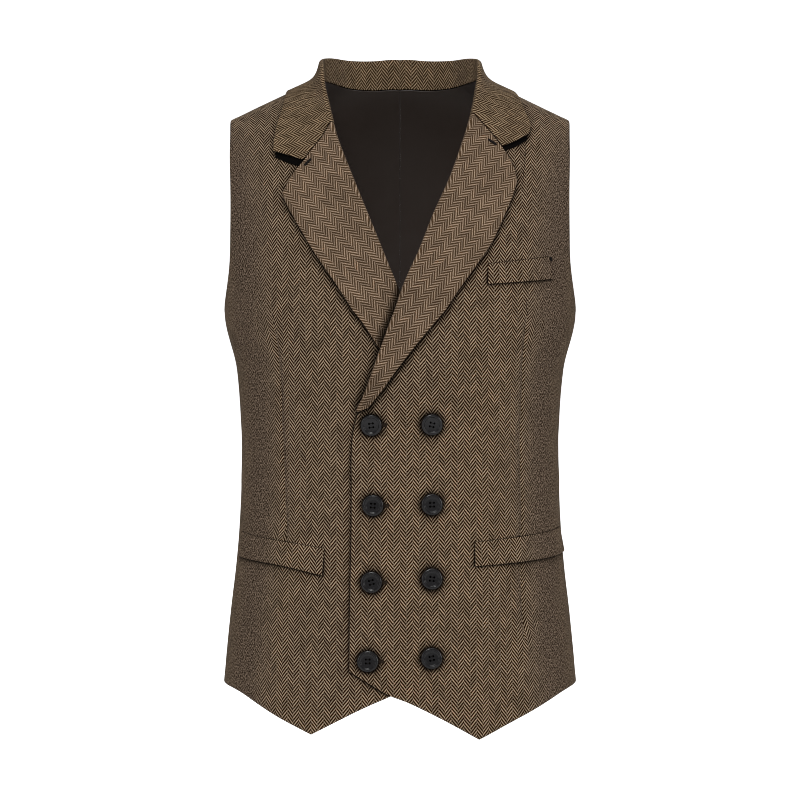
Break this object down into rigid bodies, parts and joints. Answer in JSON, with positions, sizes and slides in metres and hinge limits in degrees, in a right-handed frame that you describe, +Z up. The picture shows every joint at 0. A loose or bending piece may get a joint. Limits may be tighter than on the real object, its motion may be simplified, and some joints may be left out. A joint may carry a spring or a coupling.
{
  "type": "double-breasted suit waistcoat",
  "caption": "Double-breasted suit waistcoat in brown herringbone tweed with a notched collar and lapels, a V neck, welt pockets, dark buttons and a pointed hem, in its worn hollow form.",
  "frame": {"origin": "between the shoulders: on the centre plane, level with the neck points of the shoulder seams, 5 mm in front of the seams", "axes": "+X to the wearer's left, +Y to the wearer's back, +Z up; the fronts face -Y"},
  "size_m": [0.3406, 0.2486, 0.6547],
  "materials": {
    "tweed": "rough brown herringbone wool",
    "buttons": "matte charcoal black"
  },
  "bodies": {
    "root": {"front_left": "tweed", "front_right": "tweed", "back_left": "tweed", "back_right": "tweed", "lapel_left": "tweed", "lapel_right": "tweed", "collar": "tweed", "chest_welt": "tweed", "pocket_welt_left": "tweed", "pocket_welt_right": "tweed", "button_outer_1": "buttons", "button_inner_1": "buttons", "button_outer_2": "buttons", "button_inner_2": "buttons", "button_outer_3": "buttons", "button_inner_3": "buttons", "button_outer_4": "buttons", "button_inner_4": "buttons"}
  },
  "joints": []
}
